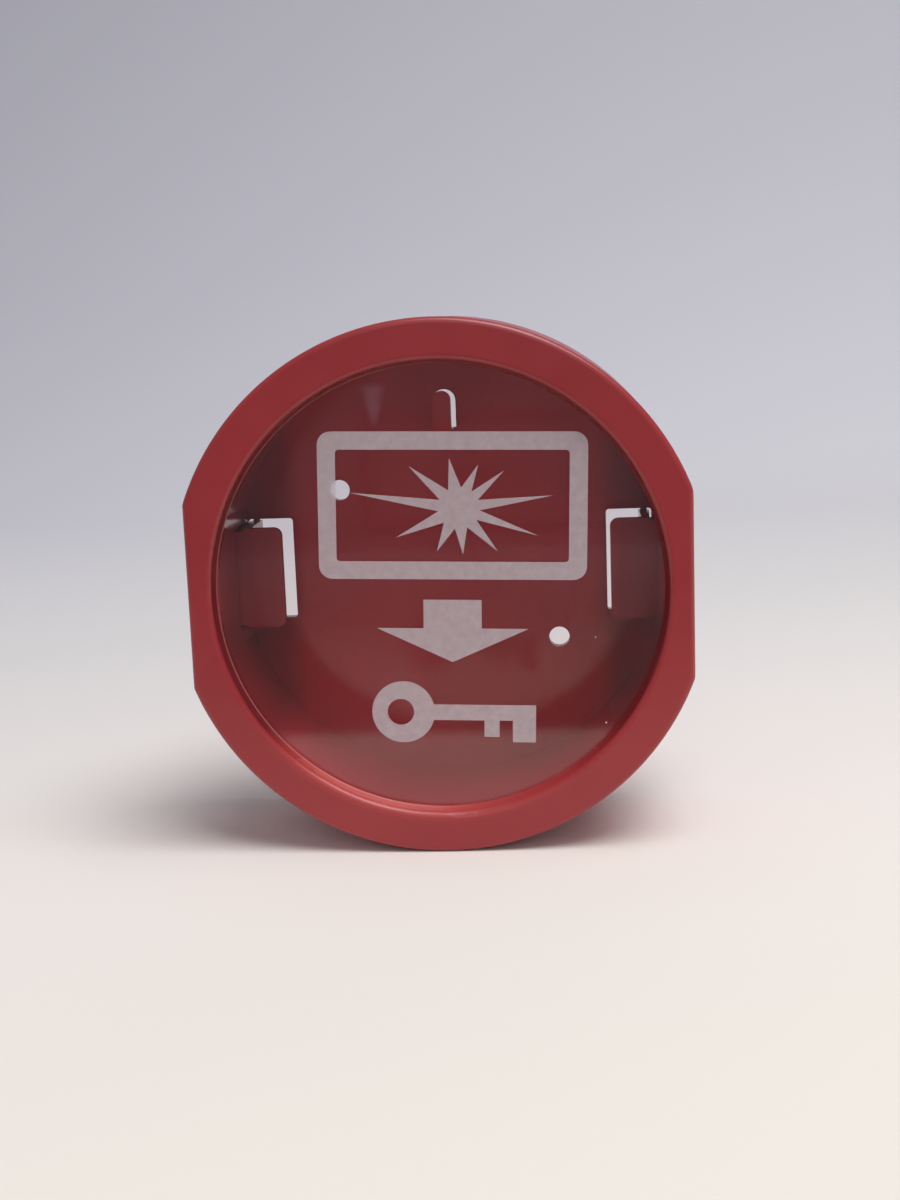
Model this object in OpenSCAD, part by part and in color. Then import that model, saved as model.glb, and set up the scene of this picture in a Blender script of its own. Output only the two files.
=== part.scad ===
// Round wall-mounted key box with a breakable front pane.
// The origin is the centre of the back face, +Z is up, +X is right and the front looks along -Y.
// Each sub-part is drawn flat on the wall plane, with its height measured out from the wall, and
// then stood up by upright().

/* [Overall] */
// Diameter over the round of the cover
cover_d = 120; // [112:1:130]
// How far each side flat is cut in from the round
flat_cut = 3.75; // [3:0.25:5]
// Radius where the round turns into a side flat
bend_r = 8; // [6:0.5:12]
// Depth from the wall to the front of the cover
depth = 44; // [38:1:60]

/* [Front cover] */
// Thickness of the skirt of the cover
cover_wall = 2.5; // [2:0.1:3]
// Thickness of the front ring
ring_t = 3; // [2.6:0.1:4]
// Width of the front ring, from its outer edge to the opening
ring_w = 10; // [9.5:0.1:11]
// Rounding of the outer front edge
edge_r = 1.3; // [1:0.1:2.6]
// How much the opening widens from the pane towards the front
lip_taper = 0.7; // [0.2:0.1:1]
// Rounding of the front edge of the opening
lip_r = 1.4; // [0.6:0.1:2]
// Gap between the rear edge of the cover and the wall
rear_gap = 0.5; // [0.2:0.1:1.5]

/* [Glass disc] */
// Thickness of the pane
glass_t = 2; // [1.5:0.1:3]
// How far the lip of the cover laps over the pane
glass_lap = 3.3; // [2.8:0.1:3.4]
// Ground chamfer on both edges of the pane
glass_chamfer = 0.3; // [0.1:0.1:0.5]
// Clearance around and behind the pane
glass_clear = 0.3; // [0.2:0.05:0.5]
// Wall of the ring rib that centres the pane
seat_wall = 1.5; // [1:0.1:2]

/* [Back box] */
// Thickness of the back plate
plate_t = 2.6; // [2.2:0.1:3.5]
// Clearance between the back plate and the inside of the cover
fit_clear = 0.35; // [0.2:0.05:0.6]
// Gap between a side flat of the drum and the inside of the cover
side_gap = 2.45; // [2:0.05:2.8]
// How far the round of the drum stands out beyond its side flats
drum_bulge = 2.5; // [2:0.1:2.7]
// Wall of the drum at its rim
rim_wall = 1.5; // [1.4:0.1:2]
// Wall of the drum where it meets the back plate
root_wall = 1.9; // [1.6:0.1:2.4]
// Chamfer on both edges of the rim of the drum
rim_chamfer = 0.4; // [0.2:0.1:0.5]
// Thickness of the ribs that brace the drum and centre the cover
rib_t = 1.6; // [1.2:0.1:2.5]
// Height of the ribs up the drum
rib_h = 20; // [12:1:24]
// Height of the straight outer edge of the ribs
rib_edge_h = 7; // [4:0.5:10]

/* [Wall fixing] */
// Distance between the centres of the two screw holes
screw_pitch = 65; // [50:1:70]
// Diameter of a screw hole
screw_d = 5; // [4:0.1:6]
// Slope of the line through the screw holes, below level to the right
screw_slope = 35.6; // [20:0.1:50]

/* [Latches] */
// Width of a tongue and its finger tab
tab_w = 23.8; // [18:0.2:28]
// How far the finger tab reaches in from the tongue
tab_reach = 7.4; // [6:0.1:9]
// Thickness of the finger tab
tab_t = 2.2; // [1.8:0.1:3]
// Height of the underside of the finger tab above the back plate
tab_lift = 12.8; // [11:0.1:18]
// Corner radius of the finger tab
tab_corner = 2; // [1:0.1:3]
// Bevel between the tongue and the underside of its tab
tab_bevel = 0.8; // [0.4:0.1:1.5]
// Thickness of the tongue at its top
tongue_t = 1.8; // [1.5:0.1:2.2]
// Thickness of the tongue where it passes the front of the back plate
tongue_foot_t = 2.5; // [2:0.1:3]
// How far the inner face of the tongue lies in from the foot of the drum's side flat
tongue_inset = 3.1; // [2.9:0.1:4]
// Gap under the tongue, and at each end of its bar
tongue_gap = 0.3; // [0.25:0.05:0.5]
// Radius of the round bar that the tongue twists on
bar_r = 0.8; // [0.6:0.05:0.8]
// Running clearance around the bar
bar_clear = 0.06; // [0.03:0.01:0.1]
// How far each end of the bar is let into the back plate
bar_seat = 1.8; // [1.2:0.1:2.5]
// How far the barb stops short of each side of the tongue
barb_inset = 0.6; // [0.2:0.1:4]
// How far the flat top of the barb runs out from the tongue
barb_shoulder = 2.4; // [1.5:0.1:3]
// Height of the sloping side of the barb
barb_slope = 5.4; // [4:0.1:6]
// Height of the crest of the barb
barb_crest = 0.6; // [0.4:0.1:1]
// Clearance between the barb and the inside of the side flat
barb_clear = 0.45; // [0.35:0.05:0.6]
// How far the barb overlaps the catch rib
barb_bite = 0.9; // [0.7:0.05:1]
// Play between the barb and the catch rib
catch_play = 0.3; // [0.2:0.05:0.6]
// Height of the catch rib
catch_h = 2.2; // [1.6:0.1:3]
// How far the catch rib runs past each end of the barb
catch_over = 0.8; // [0.5:0.1:1.5]
// Clearance of the barb in the window of the drum
window_clear = 0.7; // [0.6:0.1:1]

/* [Latch openings] */
// How far the opening in the back plate runs past the tab
core_clear = 0.5; // [0.4:0.1:0.8]
// Corner radius of the opening
core_corner = 0.8; // [0.5:0.1:1.5]

/* [Key hook] */
// Width of the hook
hook_w = 4.3; // [3.5:0.1:6]
// Drop from the top of the drum to the hook's tip
hook_drop = 11.2; // [9:0.1:15]
// Height of the hook's tip above the seat that the key ring hangs on
hook_rise = 9.2; // [7:0.1:12]
// Thickness of the arm under the seat
hook_arm = 2.8; // [2:0.1:4]
// Open gap between the back plate and the prong
hook_gap = 8; // [6:0.1:12]
// Thickness of the prong at its foot
prong_t = 3; // [2.4:0.1:4]
// How much thinner the prong is at its tip
prong_taper = 0.6; // [0.2:0.1:1]
// Fillet in the crook of the hook, and chamfers outside it and under its root
crook_r = 1.6; // [0.8:0.1:2.5]
// Clearance at both sides of the hook of the hole behind it
hook_core_clear = 0.6; // [0.4:0.1:1]

/* [Hidden] */
$fn = 96;
over = 1;
bend_facets = 4;

cover_red = [0.64, 0.14, 0.14];
base_red = [0.47, 0.10, 0.11];
glass_tint = [0.85, 0.92, 0.90, 0.3];

cover_r = cover_d / 2;
flat_x = cover_r - flat_cut;
inside_r = cover_r - cover_wall;
inside_flat_x = flat_x - cover_wall;
inside_bend_r = bend_r - cover_wall;
opening_r = cover_r - ring_w;
lip_front_r = opening_r + lip_taper;

glass_r = opening_r + glass_lap;
glass_front_h = depth - ring_t;
glass_back_h = glass_front_h - glass_t;

drum_flat_x = inside_flat_x - side_gap;
drum_r = drum_flat_x + drum_bulge;
rim_h = glass_back_h - glass_clear;
plate_r = inside_r - fit_clear;
plate_flat_x = inside_flat_x - fit_clear;
plate_bend_r = inside_bend_r - fit_clear;
rib_angles = [35, 75, 105, 145, 215, 255, 285, 325];

tab_bottom_h = plate_t + tab_lift;
tab_top_h = tab_bottom_h + tab_t;
core_out_x = drum_flat_x - root_wall;
tongue_in_x = core_out_x - tongue_inset;
tongue_x = tongue_in_x + tongue_foot_t / 2;
tongue_out_x = tongue_in_x + tongue_t;
tongue_foot_x = tongue_in_x + tongue_foot_t;
tab_end_x = tongue_in_x - tab_reach;
bar_h = plate_t / 2;
barb_w = tab_w - 2 * barb_inset;
barb_x = inside_flat_x - barb_clear;
barb_top_x = tongue_out_x + barb_shoulder;
barb_catch_h = tab_top_h - barb_slope - barb_crest;
catch_x = barb_x - barb_bite;
catch_top_h = barb_catch_h - catch_play;
catch_w = barb_w + 2 * catch_over;
window_w = barb_w + 2 * window_clear;
window_top_h = tab_top_h + window_clear;
core_w = tab_w + 2 * core_clear;
core_in_x = tab_end_x - core_clear;
bar_l = core_w + 2 * bar_seat;

hook_tip = drum_r - hook_drop;
hook_seat = hook_tip - hook_rise;
prong_in_h = plate_t + hook_gap;
prong_out_h = prong_in_h + prong_t;
hook_core_w = hook_w + 2 * hook_core_clear;

// Stands a piece up from the wall plane, so that its height runs out along -Y.
module upright() {
    rotate([90, 0, 0]) children();
}

// Half of a turned or pressed edge: a bar from the centre out to r, with its top corner rounded.
module rounded_half(r, low, high, round_r) {
    translate([0, low]) square([r, high - low - round_r]);
    if (round_r > 0) {
        translate([0, low]) square([r - round_r, high - low]);
        translate([r - round_r, high - round_r]) circle(round_r);
    }
}

// The waste outside the bend between the round and a side flat, for bend_facets small facets.
// Its first and last facets run on past the bend, so that they leave the flat and the round.
module bend_waste(r, flat, bend) {
    centre = [flat - bend, sqrt(pow(r - bend, 2) - pow(flat - bend, 2))];
    sweep = atan2(centre.y, centre.x);
    bend_points = [for (i = [0:bend_facets]) centre
        + bend * [cos(sweep * i / bend_facets), sin(sweep * i / bend_facets)]];
    start = 2 * bend_points[0] - bend_points[1];
    end = 2 * bend_points[bend_facets] - bend_points[bend_facets - 1];
    polygon(concat(
        [start + [bend, 0], start],
        [for (i = [1:bend_facets - 1]) bend_points[i]],
        [end, end + bend * [cos(sweep), sin(sweep)]]
    ));
}

// The outline shared by the cover, its inside and the back plate: a round with two side flats and
// a soft bend where they meet.
module round_with_flats(r, flat, bend, low, high, round_r = 0) {
    difference() {
        intersection() {
            rotate_extrude($fn = 180) rounded_half(r, low, high, round_r);
            rotate([90, 0, 0]) linear_extrude(2 * r + 2 * over, center = true)
                for (side = [0, 1]) mirror([side, 0]) rounded_half(flat, low, high, round_r);
        }
        for (side = [0, 1], end = [0, 1]) mirror([side, 0, 0]) mirror([0, end, 0])
            translate([0, 0, low - over]) linear_extrude(high - low + 2 * over)
                bend_waste(r, flat, bend);
    }
}

// Two bars and four corner rounds make a plate with rounded corners.
module rounded_plate(low_x, high_x, width, corner) {
    translate([low_x + corner, -width / 2]) square([high_x - low_x - 2 * corner, width]);
    translate([low_x, corner - width / 2]) square([high_x - low_x, width - 2 * corner]);
    for (x = [low_x + corner, high_x - corner], y = [-1, 1])
        translate([x, y * (width / 2 - corner)]) circle(corner, $fn = 48);
}

// The catch rib inside a side flat, which the barb of a latch hooks over.
module catch_rib() {
    rotate([90, 0, 0]) linear_extrude(catch_w, center = true) polygon([
        [inside_flat_x + cover_wall / 2, catch_top_h],
        [catch_x, catch_top_h],
        [catch_x, catch_top_h - catch_h / 2],
        [inside_flat_x, catch_top_h - catch_h],
        [inside_flat_x + cover_wall / 2, catch_top_h - catch_h]
    ]);
}

// One moulding: ring, skirt, the rib that centres the pane, and the two catch ribs.
module front_cover() color(cover_red) upright() {
    difference() {
        round_with_flats(cover_r, flat_x, bend_r, rear_gap, depth, edge_r);
        round_with_flats(inside_r, inside_flat_x, inside_bend_r, rear_gap - over, glass_front_h);
        rotate_extrude($fn = 180) {
            polygon([
                [0, glass_front_h - over],
                [opening_r, glass_front_h - over],
                [opening_r, glass_front_h],
                [lip_front_r, depth - lip_r],
                [lip_front_r, depth + over],
                [0, depth + over]
            ]);
            difference() {
                translate([lip_front_r - over, depth - lip_r]) square([lip_r + over, lip_r + over]);
                translate([lip_front_r + lip_r, depth - lip_r]) circle(lip_r);
            }
        }
    }
    rotate_extrude($fn = 180) translate([glass_r + glass_clear, glass_back_h])
        square([seat_wall, glass_t + ring_t / 2]);
    for (side = [0, 1]) mirror([side, 0, 0]) catch_rib();
}

// The breakable pane: it drops in behind the lip and the rim of the drum traps it.
module glass_disc() color(glass_tint) upright() rotate_extrude($fn = 180) polygon([
    [0, glass_back_h],
    [glass_r - glass_chamfer, glass_back_h],
    [glass_r, glass_back_h + glass_chamfer],
    [glass_r, glass_front_h - glass_chamfer],
    [glass_r - glass_chamfer, glass_front_h],
    [0, glass_front_h]
]);

// Half of the drum's section, out to r, with a chamfer at the rim.
module drum_half(r) {
    polygon([
        [0, plate_t / 2],
        [r, plate_t / 2],
        [r, rim_h - rim_chamfer],
        [r - rim_chamfer, rim_h],
        [0, rim_h]
    ]);
}

// Half of the hollow in the drum. It widens towards the rim, so that it leaves the mould.
module hollow_half(r) {
    polygon([
        [0, plate_t],
        [r - root_wall, plate_t],
        [r - rim_wall, rim_h - rim_chamfer],
        [r - rim_wall + rim_chamfer, rim_h],
        [r - rim_wall + rim_chamfer, rim_h + over],
        [0, rim_h + over]
    ]);
}

// The wall of the drum: a round with two side flats, like the cover around it.
module drum_wall() {
    difference() {
        intersection() {
            rotate_extrude($fn = 180) drum_half(drum_r);
            rotate([90, 0, 0]) linear_extrude(2 * drum_r + 2 * over, center = true)
                for (side = [0, 1]) mirror([side, 0]) drum_half(drum_flat_x);
        }
        intersection() {
            rotate_extrude($fn = 180) hollow_half(drum_r);
            rotate([90, 0, 0]) linear_extrude(2 * drum_r + 2 * over, center = true)
                for (side = [0, 1]) mirror([side, 0]) hollow_half(drum_flat_x);
        }
    }
}

// A rib that braces the drum and centres the skirt of the cover.
module drum_rib() {
    rotate([90, 0, 0]) linear_extrude(rib_t, center = true) polygon([
        [drum_r - rim_wall / 2, plate_t / 2],
        [plate_r, plate_t / 2],
        [plate_r, rib_edge_h],
        [drum_r, rib_h],
        [drum_r - rim_wall / 2, rib_h]
    ]);
}

// One moulding: back plate, drum and ribs, pierced for the screws, the hook and the latches.
module back_box() color(base_red) upright() difference() {
    union() {
        round_with_flats(plate_r, plate_flat_x, plate_bend_r, 0, plate_t);
        drum_wall();
        for (angle = rib_angles) rotate([0, 0, angle]) drum_rib();
    }
    for (turn = [0, 180]) rotate([0, 0, turn - screw_slope])
        translate([screw_pitch / 2, 0, -over]) cylinder(d = screw_d, h = plate_t + 2 * over);
    translate([0, 0, -over]) linear_extrude(plate_t + 2 * over) {
        translate([-hook_core_w / 2, hook_seat])
            square([hook_core_w, hook_tip - hook_core_w / 2 - hook_seat]);
        translate([0, hook_tip - hook_core_w / 2]) circle(d = hook_core_w);
    }
    for (side = [0, 1]) mirror([side, 0, 0]) {
        translate([0, 0, -over]) linear_extrude(plate_t + 2 * over)
            rounded_plate(core_in_x, core_out_x, core_w, core_corner);
        translate([core_out_x - over, -window_w / 2, plate_t])
            cube([plate_r - core_out_x, window_w, window_top_h - plate_t]);
        translate([tongue_x, 0, bar_h]) rotate([90, 0, 0])
            cylinder(r = bar_r + bar_clear, h = bar_l + 2 * tongue_gap, center = true);
    }
}

// The hook for the key ring: an arm out from the back plate and a prong that turns up.
module key_hook() color(base_red) upright() intersection() {
    rotate([90, 0, 90]) linear_extrude(hook_w, center = true) difference() {
        polygon([
            [hook_seat - hook_arm - crook_r, plate_t],
            [hook_seat, plate_t],
            [hook_seat, prong_in_h - crook_r],
            [hook_seat + crook_r, prong_in_h],
            [hook_tip, prong_in_h + prong_taper / 2],
            [hook_tip, prong_out_h - prong_taper / 2],
            [hook_seat - hook_arm + crook_r, prong_out_h],
            [hook_seat - hook_arm, prong_out_h - crook_r],
            [hook_seat - hook_arm, plate_t + crook_r]
        ]);
        translate([hook_seat + crook_r, prong_in_h - crook_r]) circle(crook_r, $fn = 48);
    }
    linear_extrude(prong_out_h) {
        translate([-hook_w / 2, 0]) square([hook_w, hook_tip - hook_w / 2]);
        translate([0, hook_tip - hook_w / 2]) circle(d = hook_w, $fn = 48);
    }
}

// A tongue that twists on a round bar, with a finger tab inward and a barb outward.
module latch() {
    intersection() {
        rotate([90, 0, 0]) linear_extrude(tab_w, center = true) {
            polygon([
                [tab_end_x, tab_top_h],
                [tab_end_x, tab_bottom_h],
                [tongue_in_x - tab_bevel, tab_bottom_h],
                [tongue_in_x, tab_bottom_h - tab_bevel],
                [tongue_in_x, tongue_gap],
                [tongue_foot_x, tongue_gap],
                [tongue_foot_x, plate_t],
                [tongue_out_x, tab_top_h]
            ]);
        }
        linear_extrude(tab_top_h + over)
            rounded_plate(tab_end_x, tongue_foot_x + 2 * tab_corner, tab_w, tab_corner);
    }
    rotate([90, 0, 0]) linear_extrude(barb_w, center = true) polygon([
        [tongue_x, barb_catch_h],
        [barb_x, barb_catch_h],
        [barb_x, barb_catch_h + barb_crest],
        [barb_top_x, tab_top_h],
        [tongue_x, tab_top_h]
    ]);
    translate([tongue_x, 0, bar_h]) rotate([90, 0, 0])
        cylinder(r = bar_r, h = bar_l, center = true, $fn = 48);
}

module latch_right() color(base_red) upright() latch();
module latch_left() color(base_red) upright() mirror([1, 0, 0]) latch();

front_cover();
glass_disc();
back_box();
key_hook();
latch_left();
latch_right();
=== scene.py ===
"""Round break glass key box: materials, print, paper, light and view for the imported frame.

The file follows the box as it is put together: the view, the back box with its hook and
latches, the pane with its print, the front cover, and last the paper sweep and its light.
Lengths are in metres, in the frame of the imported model, and MM turns millimetres to metres.
The sizes of the print alone are plain millimetres, about its own centre.
"""

import math

import bpy
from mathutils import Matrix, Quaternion, Vector


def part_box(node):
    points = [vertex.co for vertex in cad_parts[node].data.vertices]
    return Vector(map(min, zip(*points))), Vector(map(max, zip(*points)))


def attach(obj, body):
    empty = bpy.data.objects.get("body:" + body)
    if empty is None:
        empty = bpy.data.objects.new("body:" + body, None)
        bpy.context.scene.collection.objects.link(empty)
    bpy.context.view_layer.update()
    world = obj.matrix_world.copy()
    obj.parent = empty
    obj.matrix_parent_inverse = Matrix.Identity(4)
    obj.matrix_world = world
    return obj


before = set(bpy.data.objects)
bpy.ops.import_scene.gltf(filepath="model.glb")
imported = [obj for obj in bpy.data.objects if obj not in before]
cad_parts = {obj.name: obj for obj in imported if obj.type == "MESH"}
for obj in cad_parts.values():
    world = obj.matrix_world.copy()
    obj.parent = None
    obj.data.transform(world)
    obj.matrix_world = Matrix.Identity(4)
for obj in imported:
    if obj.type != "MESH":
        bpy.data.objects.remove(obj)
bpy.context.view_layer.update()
MM = 0.001

# The view.
# The box stands on the round of its cover, and is seen from a little above and to its right.
# It has rolled about two degrees on the paper, which the camera's own roll gives here.
CAMERA_PLACE = Vector((26.68, -389.0, 59.61)) * MM
CAMERA_AIM = Vector((2.53, -44.0, -1.80)) * MM
CAMERA_ROLL = math.radians(-2.13)
CAMERA_LENS = 47.71

camera = bpy.data.objects.new("camera", bpy.data.cameras.new("camera"))
bpy.context.collection.objects.link(camera)
camera.data.sensor_width = 36
camera.data.lens = CAMERA_LENS
camera.data.clip_start, camera.data.clip_end = 0.01, 20
camera.location = CAMERA_PLACE
camera.rotation_mode = "QUATERNION"
camera.rotation_quaternion = (CAMERA_AIM - CAMERA_PLACE).to_track_quat("-Z", "Y") @ Quaternion(
    (0, 0, 1), CAMERA_ROLL
)
bpy.context.scene.camera = camera
bpy.context.scene.view_settings.view_transform = "Standard"


# Back box.
# One injection moulding of dark red ABS: back plate, drum and ribs, with the hook and the two
# latches moulded in. The tool is polished, so the inside mirrors its own openings softly.
BOX_RED = "#bb2a33"
BOX_RED_PALE = "#c43038"
FLOW_CLOUD = 28 * MM
SCUFF_LENGTH = 5 * MM
BOX_ROUGHNESS = (0.12, 0.24)
PLATE_FRONT_FADE = (-1.2 * MM, -2.2 * MM)
GLARE_COLOUR = "#e6a2bd"
GLARE_STRENGTH = 0.52
GLARE_X = -17.2 * MM
GLARE_FOOT, GLARE_HEAD = 33.3 * MM, 44.5 * MM
GLARE_HALF_WIDTHS = (0.6 * MM, 3.1 * MM)
GLARE_SIDE_FADE = (1.3, 0.3)
GLARE_FOOT_FADE = (33.3 * MM, 38.3 * MM)
GLARE_HEAD_FADE = (45 * MM, 43 * MM)
SIDE_SHADE_RED = "#5c2328"
SIDE_SHADE_STRENGTH = 0.5
SIDE_SHADE_INNER_FADE = (36 * MM, 41 * MM)
SIDE_SHADE_OUTER_FADE = (50.6 * MM, 50 * MM)


def linear(hex_colour, alpha=1.0):
    """An sRGB hex colour as the linear values that a shader takes."""
    levels = [int(hex_colour[i : i + 2], 16) / 255 for i in (1, 3, 5)]
    return (*[v / 12.92 if v < 0.04045 else ((v + 0.055) / 1.055) ** 2.4 for v in levels], alpha)


def add(tree, kind, settings=(), links=(), stops=()):
    """One shader node, with its settings by name, its input links by socket, and colour stops."""
    made = tree.nodes.new(kind)
    for name, value in dict(settings).items():
        if isinstance(name, str) and hasattr(made, name):
            setattr(made, name, value)
        else:
            made.inputs[name].default_value = value
    for name, source in dict(links).items():
        tree.links.new(source, made.inputs[name])
    for i, (position, colour) in enumerate(stops):
        step = made.color_ramp.elements[i] if i < 2 else made.color_ramp.elements.new(position)
        step.position, step.color = position, colour
    return made


def new_material(name):
    """An empty node material, and its tree."""
    made = bpy.data.materials.new(name)
    made.use_nodes = True
    made.node_tree.nodes.clear()
    return made, made.node_tree


# Moulded and tool-polished ABS: the melt's flow leaves faint clouds in the red, and wiping leaves
# short dull scuffs in an otherwise sharp gloss. Real scuffs are finer than a pixel, so these are
# drawn 5 mm long. A painted glare, a pale streak of reflected light, stands left of the hook on the
# front of the plate and widens upwards. Painted shade darkens the inside at the two latches.
box_abs, tree = new_material("polished_red_abs")
place = add(tree, "ShaderNodeTexCoord").outputs["Object"]
flow = add(tree, "ShaderNodeTexNoise", {"Scale": 1 / FLOW_CLOUD, "Detail": 3.0}, {"Vector": place})
red = add(
    tree,
    "ShaderNodeValToRGB",
    (),
    {"Fac": flow.outputs["Fac"]},
    [(0.35, linear(BOX_RED)), (0.68, linear(BOX_RED_PALE))],
)
spot = add(tree, "ShaderNodeSeparateXYZ", (), {0: place})
# Painted glare: a pale streak of reflected light on the plate's front left of the hook, widening
# upwards.
aside = add(tree, "ShaderNodeMath", {"operation": "SUBTRACT", 1: GLARE_X}, {0: spot.outputs["X"]})
half_width = add(
    tree,
    "ShaderNodeMapRange",
    {
        "From Min": GLARE_FOOT,
        "From Max": GLARE_HEAD,
        "To Min": GLARE_HALF_WIDTHS[0],
        "To Max": GLARE_HALF_WIDTHS[1],
    },
    {"Value": spot.outputs["Z"]},
)
apart = add(
    tree, "ShaderNodeMath", {"operation": "DIVIDE"}, {0: aside.outputs[0], 1: half_width.outputs[0]}
)
from_middle = add(tree, "ShaderNodeMath", {"operation": "ABSOLUTE"}, {0: apart.outputs[0]})
glare = add(
    tree,
    "ShaderNodeMapRange",
    {
        "interpolation_type": "SMOOTHSTEP",
        "From Min": GLARE_SIDE_FADE[0],
        "From Max": GLARE_SIDE_FADE[1],
        "To Max": GLARE_STRENGTH,
    },
    {"Value": from_middle.outputs[0]},
).outputs[0]
for source, (none, full) in (
    (spot.outputs["Z"], GLARE_FOOT_FADE),
    (spot.outputs["Z"], GLARE_HEAD_FADE),
    (spot.outputs["Y"], PLATE_FRONT_FADE),
):
    fade = add(
        tree,
        "ShaderNodeMapRange",
        {"interpolation_type": "SMOOTHSTEP", "From Min": none, "From Max": full},
        {"Value": source},
    )
    glare = add(
        tree, "ShaderNodeMath", {"operation": "MULTIPLY"}, {0: glare, 1: fade.outputs[0]}
    ).outputs[0]
# Painted shade: the inside is darkened in two side bands, at the drum's walls and the two latches.
sideways = add(tree, "ShaderNodeMath", {"operation": "ABSOLUTE"}, {0: spot.outputs["X"]})
side_shade = add(
    tree,
    "ShaderNodeMapRange",
    {
        "From Min": SIDE_SHADE_INNER_FADE[0],
        "From Max": SIDE_SHADE_INNER_FADE[1],
        "To Max": SIDE_SHADE_STRENGTH,
    },
    {"Value": sideways.outputs[0]},
).outputs[0]
for source, (none, full) in (
    (sideways.outputs[0], SIDE_SHADE_OUTER_FADE),
    (spot.outputs["Y"], PLATE_FRONT_FADE),
):
    fade = add(tree, "ShaderNodeMapRange", {"From Min": none, "From Max": full}, {"Value": source})
    side_shade = add(
        tree, "ShaderNodeMath", {"operation": "MULTIPLY"}, {0: side_shade, 1: fade.outputs[0]}
    ).outputs[0]
side_shaded = add(
    tree,
    "ShaderNodeMix",
    {"data_type": "RGBA", 7: linear(SIDE_SHADE_RED)},
    {0: side_shade, 6: red.outputs["Color"]},
)
shade = add(
    tree,
    "ShaderNodeMix",
    {"data_type": "RGBA", 7: linear(GLARE_COLOUR)},
    {0: glare, 6: side_shaded.outputs[2]},
)
scuffs = add(
    tree,
    "ShaderNodeTexNoise",
    {"Scale": 1 / SCUFF_LENGTH, "Detail": 6.0, "Roughness": 0.65, "Distortion": 1.5},
    {"Vector": place},
)
gloss = add(
    tree,
    "ShaderNodeMapRange",
    {
        "From Min": 0.4,
        "From Max": 0.75,
        "To Min": BOX_ROUGHNESS[0],
        "To Max": BOX_ROUGHNESS[1],
    },
    {"Value": scuffs.outputs["Fac"]},
)
swell = add(
    tree,
    "ShaderNodeBump",
    {"Strength": 0.04, "Distance": 0.05 * MM},
    {"Height": flow.outputs["Fac"]},
)
surface = add(
    tree,
    "ShaderNodeBsdfPrincipled",
    {"IOR": 1.54},
    {
        "Base Color": shade.outputs[2],
        "Roughness": gloss.outputs[0],
        "Normal": swell.outputs["Normal"],
    },
)
add(tree, "ShaderNodeOutputMaterial", (), {"Surface": surface.outputs["BSDF"]})

for name in ("back_box", "key_hook", "latch_left", "latch_right"):
    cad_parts[name].data.materials.clear()
    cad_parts[name].data.materials.append(box_abs)


# Pane.
# A disc of thin float glass with a ground edge, laid into the ring from behind. It is clear and
# smooth, so it mirrors the paper in front of it, and it has picked up a little dust on the right.
PANE_LEAN = math.radians(-3)
GLASS_TINT = "#fdf6f6"
LAMP_TINT = "#f4f7f6"
DUST_COLOUR = "#f0e6e2"
DUST_SPACING = 9 * MM
DUST_SIZE = 0.35 * MM
DUST_FROM_X = 33 * MM

# Polished float glass: sharp reflections, and hardly any colour in so thin a disc. Lamps and
# bounced light pass straight through. It sits a little askew, so its mirror image leans by 3
# degrees. Real dust is finer than a pixel, so its specks are drawn 0.35 mm across.
glass, tree = new_material("clear_float_glass")
place = add(tree, "ShaderNodeTexCoord").outputs["Object"]
lean = add(
    tree,
    "ShaderNodeVectorRotate",
    {"rotation_type": "X_AXIS", "Angle": PANE_LEAN},
    {"Vector": add(tree, "ShaderNodeNewGeometry").outputs["Normal"]},
)
body = add(
    tree,
    "ShaderNodeBsdfPrincipled",
    {"Base Color": linear(GLASS_TINT), "Roughness": 0.0, "IOR": 1.5, "Transmission Weight": 1.0},
    {"Normal": lean.outputs[0]},
)
open_way = add(tree, "ShaderNodeBsdfTransparent", {"Color": linear(LAMP_TINT)})
rays = add(tree, "ShaderNodeLightPath")
lamp = add(
    tree,
    "ShaderNodeMath",
    {"operation": "MAXIMUM"},
    {0: rays.outputs["Is Shadow Ray"], 1: rays.outputs["Is Diffuse Ray"]},
)
clear = add(
    tree,
    "ShaderNodeMixShader",
    (),
    {0: lamp.outputs[0], 1: body.outputs["BSDF"], 2: open_way.outputs["BSDF"]},
)
specks = add(
    tree,
    "ShaderNodeTexVoronoi",
    {"Scale": 1 / DUST_SPACING, "Randomness": 1.0},
    {"Vector": place},
)
speck = add(
    tree,
    "ShaderNodeMath",
    {"operation": "LESS_THAN", 1: DUST_SIZE / DUST_SPACING / 2},
    {0: specks.outputs["Distance"]},
)
spot = add(tree, "ShaderNodeSeparateXYZ", (), {0: place})
right_side = add(
    tree,
    "ShaderNodeMath",
    {"operation": "GREATER_THAN", 1: DUST_FROM_X},
    {0: spot.outputs["X"]},
)
dusty = add(
    tree,
    "ShaderNodeMath",
    {"operation": "MULTIPLY"},
    {0: speck.outputs[0], 1: right_side.outputs[0]},
)
dust = add(tree, "ShaderNodeBsdfDiffuse", {"Color": linear(DUST_COLOUR)})
finished = add(
    tree,
    "ShaderNodeMixShader",
    (),
    {0: dusty.outputs[0], 1: clear.outputs["Shader"], 2: dust.outputs["BSDF"]},
)
add(tree, "ShaderNodeOutputMaterial", (), {"Surface": finished.outputs["Shader"]})
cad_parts["glass_disc"].data.materials.clear()
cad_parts["glass_disc"].data.materials.append(glass)


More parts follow.
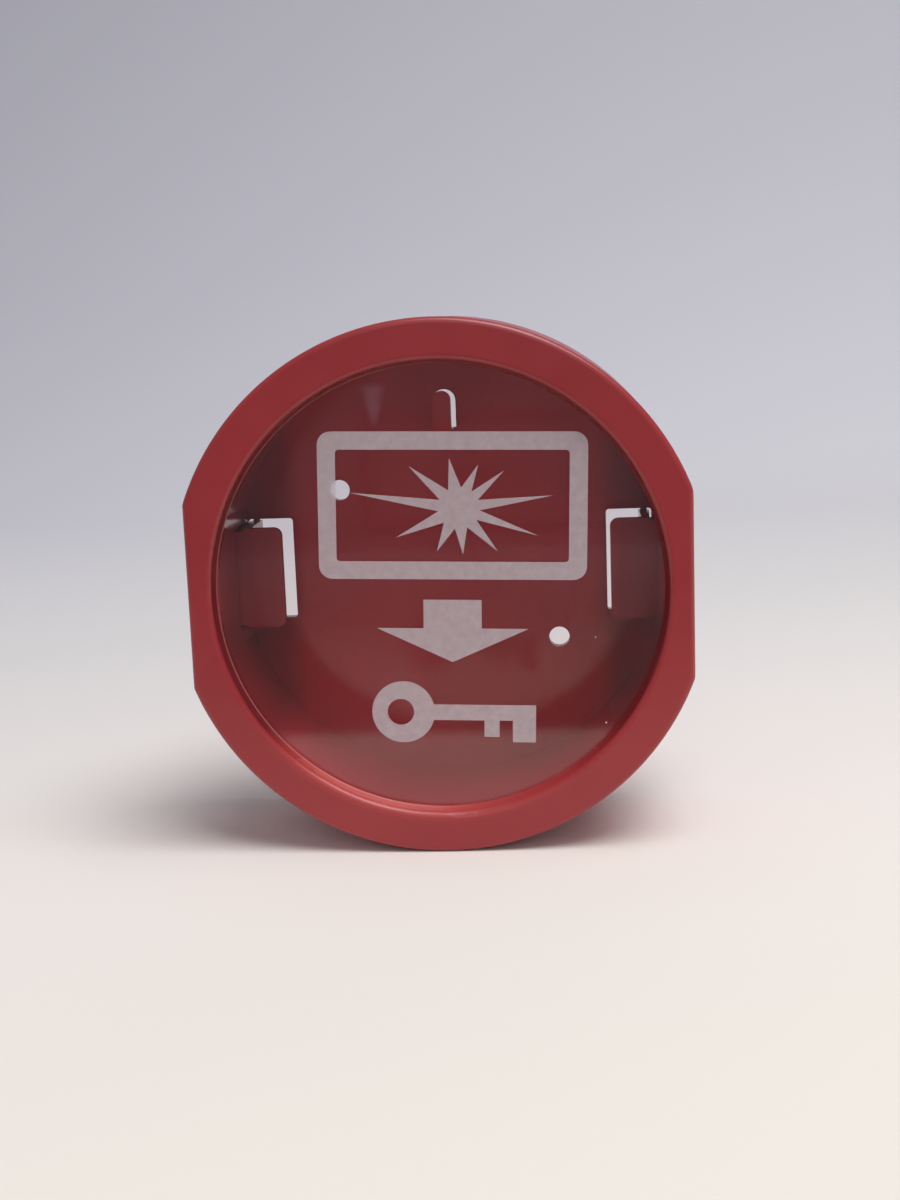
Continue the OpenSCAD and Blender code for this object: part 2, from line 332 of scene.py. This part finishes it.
# Print on the pane.
# Generic signs screen-printed in thin white ink: a pane with an impact star, a downward arrow
# and a key. The disc has turned a little in its seat, so the print leans to the right.
INK_COLOUR = "#d9cdd2"
INK_THICKNESS = 0.02
INK_COVER = (0.44, 0.54)
INK_CLOUD = 2.2 * MM
PRINT_CENTRE = (2.95, 0.0)
PRINT_TURN = math.radians(-1.8)
PANE_SIGN = (0.0, 18.7, 59.6, 32.8)
SIGN_STROKE = 4.0
SIGN_CORNERS = (3.0, 0.8)
STAR_CENTRE = (1.5, 18.2)
STAR_CORE = 4.6
STAR_RAYS = [
    (8, 21.0),
    (40, 13.0),
    (66, 10.6),
    (101, 11.3),
    (140, 14.5),
    (172, 24.5),
    (205, 15.5),
    (243, 10.8),
    (275, 10.4),
    (312, 12.8),
    (341, 18.5),
]
ARROW_CENTRE = (0.0, -9.4)
ARROW_SIZE = (34.0, 14.2)
ARROW_STEM_HALF = 6.5
ARROW_SHOULDER = 0.6
KEY_LEFT = (-18.3, -28.1)
KEY_LENGTH = 37.0
KEY_BOW_R = 7.1
KEY_HOLE_R = 3.0
KEY_HOLE_SHIFT = -0.6
KEY_SHAFT = 3.6
KEY_TEETH = [
    (-11.6, 0),
    (-11.6, -3.8),
    (-8.2, -3.8),
    (-8.2, 0),
    (-5.2, 0),
    (-5.2, -5.0),
    (0, -5.0),
]

print_curve = bpy.data.curves.new("pane_print", "CURVE")
print_curve.dimensions = "2D"
print_curve.fill_mode = "BOTH"
print_curve.extrude = INK_THICKNESS / 2 * MM


def outline(points):
    """One closed edge of the ink, from points in millimetres about the centre of the print."""
    edge = print_curve.splines.new("POLY")
    edge.points.add(len(points) - 1)
    for point, (x, z) in zip(edge.points, points):
        point.co = (
            (PRINT_CENTRE[0] + x * math.cos(PRINT_TURN) - z * math.sin(PRINT_TURN)) * MM,
            (PRINT_CENTRE[1] + x * math.sin(PRINT_TURN) + z * math.cos(PRINT_TURN)) * MM,
            0,
            1,
        )
    edge.use_cyclic_u = True


def frame_edge(x, z, width, height, corner):
    """A rectangle with rounded corners."""
    points = []
    for turn, (side_x, side_z) in enumerate([(1, 1), (-1, 1), (-1, -1), (1, -1)]):
        for step in range(7):
            angle = math.radians(90 * turn + 15 * step)
            points.append(
                (
                    x + side_x * (width / 2 - corner) + corner * math.cos(angle),
                    z + side_z * (height / 2 - corner) + corner * math.sin(angle),
                )
            )
    return points


outline(frame_edge(*PANE_SIGN, SIGN_CORNERS[0]))
inner_size = (PANE_SIGN[2] - 2 * SIGN_STROKE, PANE_SIGN[3] - 2 * SIGN_STROKE)
outline(frame_edge(PANE_SIGN[0], PANE_SIGN[1], *inner_size, SIGN_CORNERS[1]))

star = []
for i, (angle, reach) in enumerate(STAR_RAYS):
    before = STAR_RAYS[i - 1][0] - (360 if i == 0 else 0)
    for turn, radius in (((angle + before) / 2, STAR_CORE), (angle, reach)):
        star.append(
            (
                STAR_CENTRE[0] + radius * math.cos(math.radians(turn)),
                STAR_CENTRE[1] + radius * math.sin(math.radians(turn)),
            )
        )
outline(star)

half_w, half_h = ARROW_SIZE[0] / 2, ARROW_SIZE[1] / 2
outline(
    [
        (ARROW_CENTRE[0] + x, ARROW_CENTRE[1] + z)
        for x, z in (
            (-ARROW_STEM_HALF, half_h),
            (ARROW_STEM_HALF, half_h),
            (ARROW_STEM_HALF, ARROW_SHOULDER),
            (half_w, ARROW_SHOULDER),
            (0, -half_h),
            (-half_w, ARROW_SHOULDER),
            (-ARROW_STEM_HALF, ARROW_SHOULDER),
        )
    ]
)

bow_x, key_z = KEY_LEFT[0] + KEY_BOW_R, KEY_LEFT[1]
neck = math.degrees(math.asin(KEY_SHAFT / 2 / KEY_BOW_R))
bow = [
    (
        bow_x + KEY_BOW_R * math.cos(math.radians(neck + (360 - 2 * neck) * i / 60)),
        key_z + KEY_BOW_R * math.sin(math.radians(neck + (360 - 2 * neck) * i / 60)),
    )
    for i in range(61)
]
tip = KEY_LEFT[0] + KEY_LENGTH
low = key_z - KEY_SHAFT / 2
teeth = [(tip + x, low + z) for x, z in KEY_TEETH]
outline(bow + teeth + [(tip, key_z + KEY_SHAFT / 2)])
outline(
    [
        (
            bow_x + KEY_HOLE_SHIFT + KEY_HOLE_R * math.cos(math.radians(9 * i)),
            key_z + KEY_HOLE_R * math.sin(math.radians(9 * i)),
        )
        for i in range(40)
    ]
)

# Screen-printed enamel ink: thin enough for the red to show through, and a little cloudy where
# the squeegee laid less of it. The screen's mesh of 0.1 mm is too fine to show at this size.
ink, tree = new_material("white_screen_ink")
place = add(tree, "ShaderNodeTexCoord").outputs["Object"]
clouds = add(
    tree,
    "ShaderNodeTexNoise",
    {"Scale": 1 / INK_CLOUD, "Detail": 4.0, "Roughness": 0.6},
    {"Vector": place},
)
cover = add(
    tree,
    "ShaderNodeMapRange",
    {"From Min": 0.3, "From Max": 0.7, "To Min": INK_COVER[0], "To Max": INK_COVER[1]},
    {"Value": clouds.outputs["Fac"]},
)
film = add(
    tree,
    "ShaderNodeBsdfPrincipled",
    {"Base Color": linear(INK_COLOUR), "Roughness": 0.5, "IOR": 1.5},
)
gap = add(tree, "ShaderNodeBsdfTransparent", {"Color": (1, 1, 1, 1)})
mixed = add(
    tree,
    "ShaderNodeMixShader",
    (),
    {0: cover.outputs[0], 1: gap.outputs["BSDF"], 2: film.outputs["BSDF"]},
)
add(tree, "ShaderNodeOutputMaterial", (), {"Surface": mixed.outputs["Shader"]})

pane_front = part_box("glass_disc")[0][1]
pane_print = bpy.data.objects.new("pane_print", print_curve)
bpy.context.collection.objects.link(pane_print)
pane_print.rotation_euler = (math.radians(90), 0, 0)
pane_print.location = (0, pane_front - INK_THICKNESS * MM, 0)
print_curve.materials.append(ink)
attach(pane_print, "cover")


# Front cover.
# One injection moulding of brighter red ABS: ring, skirt and the rib that centres the pane. Its
# tool has a fine spark finish and a polished bore. It slides on over the drum until it snaps in.
COVER_RED = "#9b292e"
COVER_RED_PALE = "#a22d32"
COVER_ROUGHNESS = (0.3, 0.38)
GRAIN = 0.55 * MM
EDGE_WEAR_HIGHLIGHT_RED = "#b25052"
RUB_PATCH = 7 * MM
BORE_R = 50.8 * MM
BORE_FADE = 1 * MM
BORE_ROUGHNESS = 0.18
LIP_GLINT_COLOUR = "#d8a3a0"
LIP_GLINT_STRENGTH = 0.42
LIP_GLINT_SIDE_FADE = (6 * MM, -14 * MM)
LIP_R = 50 * MM
LIP_GLINT_WIDTH = 0.22 * MM
SEAM_SHADE_COLOUR = "#38141a"
SEAM_SHADE_STRENGTH = 0.6
SEAM_R = 50.7 * MM
SEAM_FADE = 0.5 * MM
LIP_SHEEN_COLOUR = "#cc5049"
LIP_SHEEN_STRENGTH = 0.8
LIP_SHEEN_RADII = (53.1 * MM, 49.7 * MM)
LOW_LIP_HEIGHTS = (-30 * MM, -42 * MM)
LIP_SHEEN_SIDE_FADE = (26 * MM, -6 * MM)
LIP_SHEEN_RIGHT_SHARE = 0.15

# Moulded ABS with a spark-eroded grain: a soft, broad sheen. Rounded edges are painted paler,
# partly as wear from handling and partly as a painted highlight. The smooth bore has a painted
# highlight in a fine pale line at its left, painted shade in a dark band in its seam, and a painted
# pale sheen on its lowest part. The grain is 0.1 mm on the real tool, finer than a pixel, so it is
# drawn 0.55 mm wide and very shallow.
cover_abs, tree = new_material("satin_red_abs")
coordinates = add(tree, "ShaderNodeTexCoord")
place = coordinates.outputs["Object"]
flow = add(tree, "ShaderNodeTexNoise", {"Scale": 1 / FLOW_CLOUD, "Detail": 3.0}, {"Vector": place})
red = add(
    tree,
    "ShaderNodeValToRGB",
    (),
    {"Fac": flow.outputs["Fac"]},
    [(0.34, linear(COVER_RED)), (0.7, linear(COVER_RED_PALE))],
)
facing = add(tree, "ShaderNodeSeparateXYZ", (), {0: coordinates.outputs["Normal"]})
squared = add(
    tree,
    "ShaderNodeMath",
    {"operation": "MULTIPLY"},
    {0: facing.outputs["Y"], 1: facing.outputs["Y"]},
)
rest = add(tree, "ShaderNodeMath", {"operation": "SUBTRACT", 0: 1.0}, {1: squared.outputs[0]})
turned = add(
    tree, "ShaderNodeMath", {"operation": "MULTIPLY"}, {0: squared.outputs[0], 1: rest.outputs[0]}
)
patches = add(
    tree,
    "ShaderNodeTexNoise",
    {"Scale": 1 / RUB_PATCH, "Detail": 5.0, "Roughness": 0.6},
    {"Vector": place},
)
flat_place = add(
    tree, "ShaderNodeVectorMath", {"operation": "MULTIPLY", 1: (1, 0, 1)}, {0: place}
)
radius = add(tree, "ShaderNodeVectorMath", {"operation": "LENGTH"}, {0: flat_place.outputs[0]})
outer = add(
    tree,
    "ShaderNodeMapRange",
    {"From Min": BORE_R, "From Max": BORE_R + BORE_FADE},
    {"Value": radius.outputs["Value"]},
)
# Painted highlight and wear: the rounded edges outside the bore are painted paler in patches.
edge = add(
    tree, "ShaderNodeMath", {"operation": "MULTIPLY"}, {0: turned.outputs[0], 1: outer.outputs[0]}
)
edge_wear_highlight = add(
    tree, "ShaderNodeMath", {"operation": "MULTIPLY"}, {0: edge.outputs[0], 1: patches.outputs[0]}
)
spot = add(tree, "ShaderNodeSeparateXYZ", (), {0: place})
# Painted highlight: a thin pale line at the bore's rear edge, on its left side.
glint_side = add(
    tree,
    "ShaderNodeMapRange",
    {
        "From Min": LIP_GLINT_SIDE_FADE[0],
        "From Max": LIP_GLINT_SIDE_FADE[1],
        "To Max": LIP_GLINT_STRENGTH,
    },
    {"Value": spot.outputs["X"]},
)
glint_line = add(
    tree,
    "ShaderNodeMapRange",
    {"From Min": LIP_R + LIP_GLINT_WIDTH, "From Max": LIP_R},
    {"Value": radius.outputs["Value"]},
)
lip_glint = add(
    tree, "ShaderNodeMath", {"operation": "MULTIPLY"}, {0: glint_line.outputs[0], 1: glint_side.outputs[0]}
)
edge_wear_highlighted = add(
    tree,
    "ShaderNodeMix",
    {"data_type": "RGBA", 7: linear(EDGE_WEAR_HIGHLIGHT_RED)},
    {0: edge_wear_highlight.outputs[0], 6: red.outputs["Color"]},
)
# Painted shade: a dark band in the bore's seam beside the pane, fading out towards the bottom.
seam_shade_band = add(
    tree,
    "ShaderNodeMapRange",
    {"From Min": SEAM_R + SEAM_FADE, "From Max": SEAM_R, "To Max": SEAM_SHADE_STRENGTH},
    {"Value": radius.outputs["Value"]},
)
upper_part = add(
    tree,
    "ShaderNodeMapRange",
    {"From Min": LOW_LIP_HEIGHTS[1], "From Max": LOW_LIP_HEIGHTS[0]},
    {"Value": spot.outputs["Z"]},
)
seam_shade = add(
    tree, "ShaderNodeMath", {"operation": "MULTIPLY"}, {0: seam_shade_band.outputs[0], 1: upper_part.outputs[0]}
)
seam_shaded = add(
    tree,
    "ShaderNodeMix",
    {"data_type": "RGBA", 7: linear(SEAM_SHADE_COLOUR)},
    {0: seam_shade.outputs[0], 6: edge_wear_highlighted.outputs[2]},
)
# Painted sheen: the lowest part of the lip is painted pale, more on the left than on the right.
lip_sheen_band = add(
    tree,
    "ShaderNodeMapRange",
    {"From Min": LIP_SHEEN_RADII[0], "From Max": LIP_SHEEN_RADII[1], "To Max": LIP_SHEEN_STRENGTH},
    {"Value": radius.outputs["Value"]},
)
lowest_part = add(
    tree,
    "ShaderNodeMapRange",
    {"From Min": LOW_LIP_HEIGHTS[0], "From Max": LOW_LIP_HEIGHTS[1]},
    {"Value": spot.outputs["Z"]},
)
sheen_side = add(
    tree,
    "ShaderNodeMapRange",
    {
        "From Min": LIP_SHEEN_SIDE_FADE[0],
        "From Max": LIP_SHEEN_SIDE_FADE[1],
        "To Min": LIP_SHEEN_RIGHT_SHARE,
    },
    {"Value": spot.outputs["X"]},
)
low_lip = add(
    tree, "ShaderNodeMath", {"operation": "MULTIPLY"}, {0: lip_sheen_band.outputs[0], 1: lowest_part.outputs[0]}
)
lip_sheen_mask = add(
    tree,
    "ShaderNodeMath",
    {"operation": "MULTIPLY"},
    {0: low_lip.outputs[0], 1: sheen_side.outputs[0]},
)
lip_sheened = add(
    tree,
    "ShaderNodeMix",
    {"data_type": "RGBA", 7: linear(LIP_SHEEN_COLOUR)},
    {0: lip_sheen_mask.outputs[0], 6: seam_shaded.outputs[2]},
)
shade = add(
    tree,
    "ShaderNodeMix",
    {"data_type": "RGBA", 7: linear(LIP_GLINT_COLOUR)},
    {0: lip_glint.outputs[0], 6: lip_sheened.outputs[2]},
)
sheen = add(
    tree,
    "ShaderNodeMapRange",
    {
        "From Min": 0.3,
        "From Max": 0.7,
        "To Min": COVER_ROUGHNESS[0],
        "To Max": COVER_ROUGHNESS[1],
    },
    {"Value": patches.outputs["Fac"]},
)
dull = add(
    tree, "ShaderNodeMath", {"operation": "MAXIMUM"}, {0: outer.outputs[0], 1: lowest_part.outputs[0]}
)
polished = add(
    tree,
    "ShaderNodeMix",
    {"data_type": "FLOAT", 2: BORE_ROUGHNESS},
    {0: dull.outputs[0], 3: sheen.outputs[0]},
)
grain = add(tree, "ShaderNodeTexNoise", {"Scale": 1 / GRAIN, "Detail": 2.0}, {"Vector": place})
relief = add(
    tree,
    "ShaderNodeBump",
    {"Strength": 0.25, "Distance": 0.02 * MM},
    {"Height": grain.outputs["Fac"]},
)
surface = add(
    tree,
    "ShaderNodeBsdfPrincipled",
    {"IOR": 1.54},
    {
        "Base Color": shade.outputs[2],
        "Roughness": polished.outputs[0],
        "Normal": relief.outputs["Normal"],
    },
)
add(tree, "ShaderNodeOutputMaterial", (), {"Surface": surface.outputs["BSDF"]})
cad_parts["front_cover"].data.materials.clear()
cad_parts["front_cover"].data.materials.append(cover_abs)


# Paper sweep.
# A sheet of matt white paper lies on a grey desk under the box, and curves up behind it. Its colour
# holds painted light: bright and warm near its front edge and on the right, and greyer and cooler
# far back, away from the lamp.
FLOOR_Z = -60 * MM
PAPER_HALF = 3.0
BEND_START, BEND_R, BEND_STEPS, BACK_TOP = 0.55, 0.5, 24, 3.0
PAPER_EDGE, EDGE_BLUR = -214 * MM, 18 * MM
PAPER_TONES = [
    (0.0, "#f1ebdf"),
    (0.1, "#f4ede6"),
    (0.25, "#e6e3e1"),
    (0.45, "#e2e1e5"),
    (0.7, "#d1d0d8"),
    (1.0, "#c0c0c9"),
]
TONES_START, TONES_END = -0.31, 1.69
TONES_SIDE_SHARE = -0.4
PAPER_TOOTH = 1.5 * MM
DESK_GREY, DESK_FAR_GREY = "#746f6d", "#c2c1c6"
DIM_DESK = (-0.5, -2.2)

# Uncoated paper: matt, with a faint tooth of 1.5 mm that is coarser than the real one, so that it
# shows. The paper ends just in front of the view, and the laminate desk beyond is grey, so the
# pane mirrors paper in its lowest part and little above that. The desk is painted paler where the
# lamps don't reach it, as painted light, so that it meets the room without a dark horizon.
paper, tree = new_material("matt_white_paper")
place = add(tree, "ShaderNodeTexCoord").outputs["Object"]
spot = add(tree, "ShaderNodeSeparateXYZ", (), {0: place})
# Painted light: the paper's tone is bright near the front and on the right, and falls off further
# back.
back = add(
    tree, "ShaderNodeMath", {"operation": "ADD"}, {0: spot.outputs["Y"], 1: spot.outputs["Z"]}
)
away = add(
    tree,
    "ShaderNodeMath",
    {"operation": "MULTIPLY_ADD", 1: TONES_SIDE_SHARE},
    {0: spot.outputs["X"], 2: back.outputs[0]},
)
along = add(
    tree,
    "ShaderNodeMapRange",
    {"From Min": TONES_START, "From Max": TONES_END},
    {"Value": away.outputs[0]},
)
tone = add(
    tree,
    "ShaderNodeValToRGB",
    (),
    {"Fac": along.outputs[0]},
    [(position, linear(colour)) for position, colour in PAPER_TONES],
)
desk = add(
    tree,
    "ShaderNodeMapRange",
    {
        "interpolation_type": "SMOOTHSTEP",
        "From Min": PAPER_EDGE - EDGE_BLUR,
        "From Max": PAPER_EDGE + EDGE_BLUR,
        "To Min": 1.0,
        "To Max": 0.0,
    },
    {"Value": spot.outputs["Y"]},
)
# Painted light: the desk is painted paler far out, where the lamps don't reach it.
unlit = add(
    tree,
    "ShaderNodeMapRange",
    {"From Min": DIM_DESK[0], "From Max": DIM_DESK[1]},
    {"Value": spot.outputs["Y"]},
)
laminate = add(
    tree,
    "ShaderNodeMix",
    {"data_type": "RGBA", 6: linear(DESK_GREY), 7: linear(DESK_FAR_GREY)},
    {0: unlit.outputs[0]},
)
shade = add(
    tree,
    "ShaderNodeMix",
    {"data_type": "RGBA"},
    {0: desk.outputs[0], 6: tone.outputs["Color"], 7: laminate.outputs[2]},
)
tooth = add(
    tree, "ShaderNodeTexNoise", {"Scale": 1 / PAPER_TOOTH, "Detail": 4.0}, {"Vector": place}
)
relief = add(
    tree,
    "ShaderNodeBump",
    {"Strength": 0.1, "Distance": 0.05 * MM},
    {"Height": tooth.outputs["Fac"]},
)
surface = add(
    tree,
    "ShaderNodeBsdfPrincipled",
    {"Roughness": 0.9, "IOR": 1.4},
    {"Base Color": shade.outputs[2], "Normal": relief.outputs["Normal"]},
)
add(tree, "ShaderNodeOutputMaterial", (), {"Surface": surface.outputs["BSDF"]})

profile = [(-PAPER_HALF, 0.0), (BEND_START, 0.0)]
for i in range(1, BEND_STEPS + 1):
    angle = math.radians(90 * i / BEND_STEPS)
    profile.append((BEND_START + BEND_R * math.sin(angle), BEND_R - BEND_R * math.cos(angle)))
profile.append((BEND_START + BEND_R, BACK_TOP))
corners = [(x, y, FLOOR_Z + z) for y, z in profile for x in (-PAPER_HALF, PAPER_HALF)]
strips = [(2 * i, 2 * i + 1, 2 * i + 3, 2 * i + 2) for i in range(len(profile) - 1)]
sweep_mesh = bpy.data.meshes.new("paper_sweep")
sweep_mesh.from_pydata(corners, [], strips)
sweep_mesh.shade_smooth()
sweep_mesh.materials.append(paper)
sweep = bpy.data.objects.new("paper_sweep", sweep_mesh)
bpy.context.collection.objects.link(sweep)


# Light.
# A large soft lamp above the box, a little in front and to the right, a weak fill in front and
# a pale room all around, which is dimmer straight in front. The shadow falls back and left.
KEY_PLACE = Vector((0.45, -0.45, 1.45))
KEY_SIZE = (1.1, 0.9)
KEY_POWER = 20.8
FILL_PLACE = Vector((0.1, -1.6, 0.7))
FILL_SIZE = 0.9
FILL_POWER = 2.6
ROOM_COLOUR = "#e9e9f2"
ROOM_STRENGTH = 0.33
DIM_SHARE = 0.7
DIM_FROM, DIM_TO = -0.8, -0.97

room = bpy.data.worlds.new("pale_room")
bpy.context.scene.world = room
room.use_nodes = True
sky = add(room.node_tree, "ShaderNodeTexCoord").outputs["Generated"]
aim = add(room.node_tree, "ShaderNodeSeparateXYZ", (), {0: sky})
level = add(
    room.node_tree,
    "ShaderNodeMapRange",
    {
        "From Min": DIM_TO,
        "From Max": DIM_FROM,
        "To Min": DIM_SHARE * ROOM_STRENGTH,
        "To Max": ROOM_STRENGTH,
    },
    {"Value": aim.outputs["Y"]},
)
walls = room.node_tree.nodes["Background"]
walls.inputs["Color"].default_value = linear(ROOM_COLOUR)
room.node_tree.links.new(level.outputs[0], walls.inputs["Strength"])

key_light = bpy.data.lights.new("soft_box", "AREA")
key_light.shape, key_light.size, key_light.size_y = "RECTANGLE", *KEY_SIZE
key_light.energy = KEY_POWER
key_lamp = bpy.data.objects.new("soft_box", key_light)
bpy.context.collection.objects.link(key_lamp)
key_lamp.location = KEY_PLACE
key_lamp.rotation_euler = (Vector((0, 0, FLOOR_Z)) - KEY_PLACE).to_track_quat("-Z", "Y").to_euler()

fill_light = bpy.data.lights.new("front_fill", "AREA")
fill_light.shape, fill_light.size = "SQUARE", FILL_SIZE
fill_light.energy = FILL_POWER
fill_lamp = bpy.data.objects.new("front_fill", fill_light)
bpy.context.collection.objects.link(fill_lamp)
fill_lamp.location = FILL_PLACE
fill_lamp.rotation_euler = (-FILL_PLACE).to_track_quat("-Z", "Y").to_euler()
